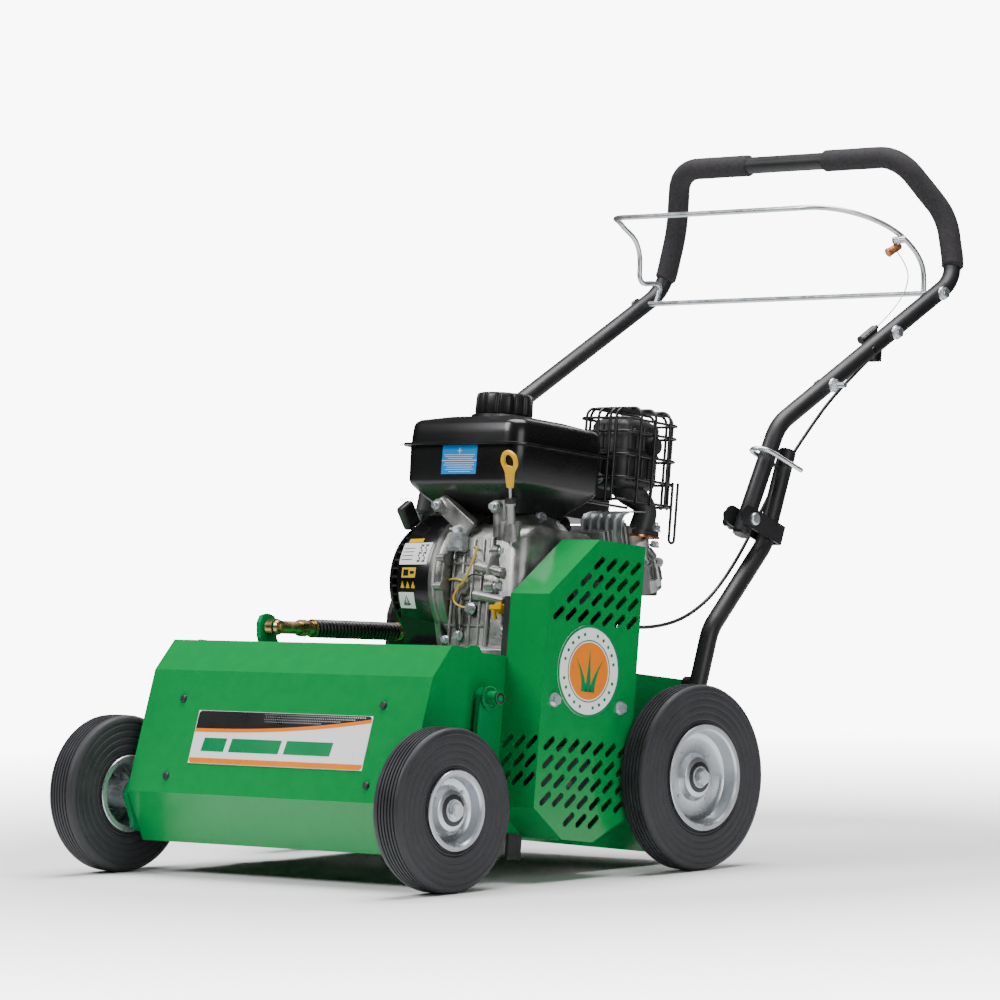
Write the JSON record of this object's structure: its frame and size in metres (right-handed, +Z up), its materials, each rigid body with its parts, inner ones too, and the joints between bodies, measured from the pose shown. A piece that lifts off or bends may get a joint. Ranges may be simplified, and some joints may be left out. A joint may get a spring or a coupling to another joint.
{
  "type": "lawn dethatcher",
  "caption": "Walk-behind power rake: steel deck on wheels, flail reel driven by belt from a small petrol engine, height lever, folding handle with a bail.",
  "frame": {"origin": "centre of the bounding box's footprint, on the floor", "axes": "+Z up; the machine's front faces -Y and its handle is towards +Y; +X is the operator's left, the belt guard's side"},
  "size_m": [0.762, 1.2702, 1.0161],
  "materials": {
    "green_paint": "powder coat",
    "carriage_green": "powder coat",
    "plate_print": "printed plate",
    "black_paint": "satin powder coat",
    "zinc": "bright zinc",
    "yellow_zinc": "yellow zinc",
    "steel": "bare steel",
    "spring_black": "coated spring",
    "grip_rubber": "moulded",
    "foam": "foam",
    "tyre_rubber": "tyre rubber",
    "rim_steel": "galvanised",
    "flap_rubber": "sheet rubber",
    "belt_rubber": "belt",
    "cable_sheath": "sheath",
    "engine_alloy": "raw casting",
    "cylinder_alloy": "raw casting",
    "shroud_black": "gloss paint",
    "tank_black": "gloss",
    "cap_black": "moulded",
    "muffler_steel": "heat-proof paint",
    "cage_black": "wire, painted",
    "dip_yellow": "moulded",
    "pulley_iron": "cast",
    "flail_steel": "hardened"
  },
  "bodies": {
    "chassis": {"deck_shell": "green_paint", "front_hood": "green_paint", "hood_screws": "black_paint", "name_plates": "plate_print", "belt_guard": "green_paint", "guard_bolts": "zinc", "guard_backplate": "black_paint", "rubber_skirts": "flap_rubber", "rear_axle": "steel", "reel_bearings": "pulley_iron", "drive_belt": "belt_rubber", "engine_crankcase": "engine_alloy", "engine_cylinder": "cylinder_alloy", "blower_housing": "shroud_black", "recoil_cover": "shroud_black", "fuel_tank": "tank_black", "muffler": "muffler_steel", "muffler_guard": "cage_black", "air_cleaner": "cap_black", "dipstick_tube": "engine_alloy", "clamp_brackets": "black_paint", "clamp_bolts": "zinc", "control_cable": "cable_sheath", "lower_handle_left": "black_paint", "lower_handle_right": "black_paint"},
    "carriage": {"carriage_frame": "carriage_green", "front_axle_bolts": "zinc"},
    "height_link": {"height_link_rod": "yellow_zinc", "height_link_spring": "spring_black"},
    "height_lever": {"height_lever": "black_paint", "lever_grip": "grip_rubber"},
    "front_left_wheel": {"front_left_tyre": "tyre_rubber", "front_left_rim": "rim_steel"},
    "front_right_wheel": {"front_right_tyre": "tyre_rubber", "front_right_rim": "rim_steel"},
    "rear_left_wheel": {"rear_left_tyre": "tyre_rubber", "rear_left_rim": "rim_steel"},
    "rear_right_wheel": {"rear_right_tyre": "tyre_rubber", "rear_right_rim": "rim_steel"},
    "reel": {"reel_rotor": "steel", "reel_pulley": "pulley_iron"},
    "flails_1": {"flail_set_1": "flail_steel"},
    "flails_2": {"flail_set_2": "flail_steel"},
    "flails_3": {"flail_set_3": "flail_steel"},
    "crank": {"crankshaft": "steel", "flywheel": "pulley_iron"},
    "idler": {"idler_arm": "steel", "idler_pulley": "pulley_iron"},
    "upper_handle": {"upper_handle": "black_paint", "foam_grips": "foam", "handle_bolts": "zinc"},
    "bail": {"bail": "zinc"},
    "clip_left": {"lock_clip_left": "zinc"},
    "clip_right": {"lock_clip_right": "zinc"},
    "knob_left": {"clamp_knob_left": "cap_black"},
    "knob_right": {"clamp_knob_right": "cap_black"},
    "fuel_cap": {"fuel_cap": "cap_black"},
    "dipstick": {"dipstick": "dip_yellow"},
    "recoil_grip": {"recoil_grip": "cap_black"},
    "throttle_lever": {"throttle_lever": "steel"}
  },
  "joints": [
    {"name": "height_carriage", "type": "hinge", "parent": "chassis", "child": "carriage", "pos_m": [0, -0.39747, 0.2483], "axis": [1, 0, 0], "range_deg": [-24.5, 0]},
    {"name": "height_link_pin", "type": "hinge", "parent": "carriage", "child": "height_link", "pos_m": [-0.092, -0.43277, 0.33916], "axis": [1, 0, 0], "range_deg": [0, 18.11]},
    {"name": "height_lever_pivot", "type": "hinge", "parent": "chassis", "child": "height_lever", "pos_m": [-0.11, -0.18303, 0.26008], "axis": [1, 0, 0], "range_deg": [-40.56, 0]},
    {"name": "front_left_wheel_spin", "type": "hinge", "parent": "carriage", "child": "front_left_wheel", "pos_m": [0.312, -0.52609, 0.109], "axis": [1, 0, 0], "continuous": true},
    {"name": "front_right_wheel_spin", "type": "hinge", "parent": "carriage", "child": "front_right_wheel", "pos_m": [-0.312, -0.52609, 0.109], "axis": [1, 0, 0], "continuous": true},
    {"name": "rear_left_wheel_spin", "type": "hinge", "parent": "chassis", "child": "rear_left_wheel", "pos_m": [0.355, -0.07769, 0.127], "axis": [1, 0, 0], "continuous": true},
    {"name": "rear_right_wheel_spin", "type": "hinge", "parent": "chassis", "child": "rear_right_wheel", "pos_m": [-0.355, -0.07769, 0.127], "axis": [1, 0, 0], "continuous": true},
    {"name": "reel_spin", "type": "hinge", "parent": "chassis", "child": "reel", "pos_m": [0, -0.27494, 0.12302], "axis": [1, 0, 0], "continuous": true},
    {"name": "flails_1_swing", "type": "hinge", "parent": "reel", "child": "flails_1", "pos_m": [0, -0.28088, 0.07841], "axis": [1, 0, 0], "range_deg": [-110, 110]},
    {"name": "flails_2_swing", "type": "hinge", "parent": "reel", "child": "flails_2", "pos_m": [0, -0.23334, 0.14017], "axis": [1, 0, 0], "range_deg": [-20, 220]},
    {"name": "flails_3_swing", "type": "hinge", "parent": "reel", "child": "flails_3", "pos_m": [0, -0.3106, 0.15047], "axis": [1, 0, 0], "range_deg": [-220, 20]},
    {"name": "crank_spin", "type": "hinge", "parent": "chassis", "child": "crank", "pos_m": [0.15, -0.2287, 0.39429], "axis": [1, 0, 0], "continuous": true},
    {"name": "belt_idler", "type": "hinge", "parent": "chassis", "child": "idler", "pos_m": [0.272, -0.17273, 0.3374], "axis": [1, 0, 0], "range_deg": [-6.2, 0]},
    {"name": "handle_fold", "type": "hinge", "parent": "chassis", "child": "upper_handle", "pos_m": [0, 0.12774, 0.47471], "axis": [1, 0, 0], "range_deg": [0, 112]},
    {"name": "bail_squeeze", "type": "hinge", "parent": "upper_handle", "child": "bail", "pos_m": [0, 0.5653, 0.79593], "axis": [1, 0, 0], "range_deg": [-42, 0], "stiffness_Nm_per_rad": 2, "springref_deg": 20.05},
    {"name": "clip_left_slide", "type": "slide", "parent": "upper_handle", "child": "clip_left", "axis": [0, 0.4857, 0.8741], "range_m": [0, 0.045]},
    {"name": "clip_right_slide", "type": "slide", "parent": "upper_handle", "child": "clip_right", "axis": [0, 0.4857, 0.8741], "range_m": [0, 0.045]},
    {"name": "knob_left_turn", "type": "hinge", "parent": "chassis", "child": "knob_left", "pos_m": [0.26, 0.12774, 0.47471], "axis": [1, 0, 0], "range_deg": [0, 360]},
    {"name": "knob_right_turn", "type": "hinge", "parent": "chassis", "child": "knob_right", "pos_m": [-0.26, 0.12774, 0.47471], "axis": [1, 0, 0], "range_deg": [0, 360]},
    {"name": "fuel_cap_turn", "type": "hinge", "parent": "chassis", "child": "fuel_cap", "pos_m": [0.138, -0.20725, 0.6386], "axis": [0, 0.1321, 0.9912], "range_deg": [0, 90]},
    {"name": "dipstick_pull", "type": "slide", "parent": "chassis", "child": "dipstick", "axis": [0.173, -0.1987, 0.9647], "range_m": [0, 0.14]},
    {"name": "recoil_pull", "type": "slide", "parent": "chassis", "child": "recoil_grip", "axis": [0, -0.4941, 0.8694], "range_m": [0, 0.14], "stiffness_N_per_m": 20, "springref_m": -0.1},
    {"name": "throttle_swing", "type": "hinge", "parent": "chassis", "child": "throttle_lever", "pos_m": [0.0295, -0.04943, 0.49045], "axis": [1, 0, 0], "range_deg": [-30, 30]}
  ],
  "couplings": [
    {"joint": "height_link_pin", "follows": "height_carriage", "ratio": -0.73709},
    {"joint": "height_lever_pivot", "follows": "height_carriage", "ratio": 1.6536},
    {"joint": "crank_spin", "follows": "reel_spin", "ratio": 2},
    {"joint": "belt_idler", "follows": "bail_squeeze", "ratio": 0.14524}
  ]
}
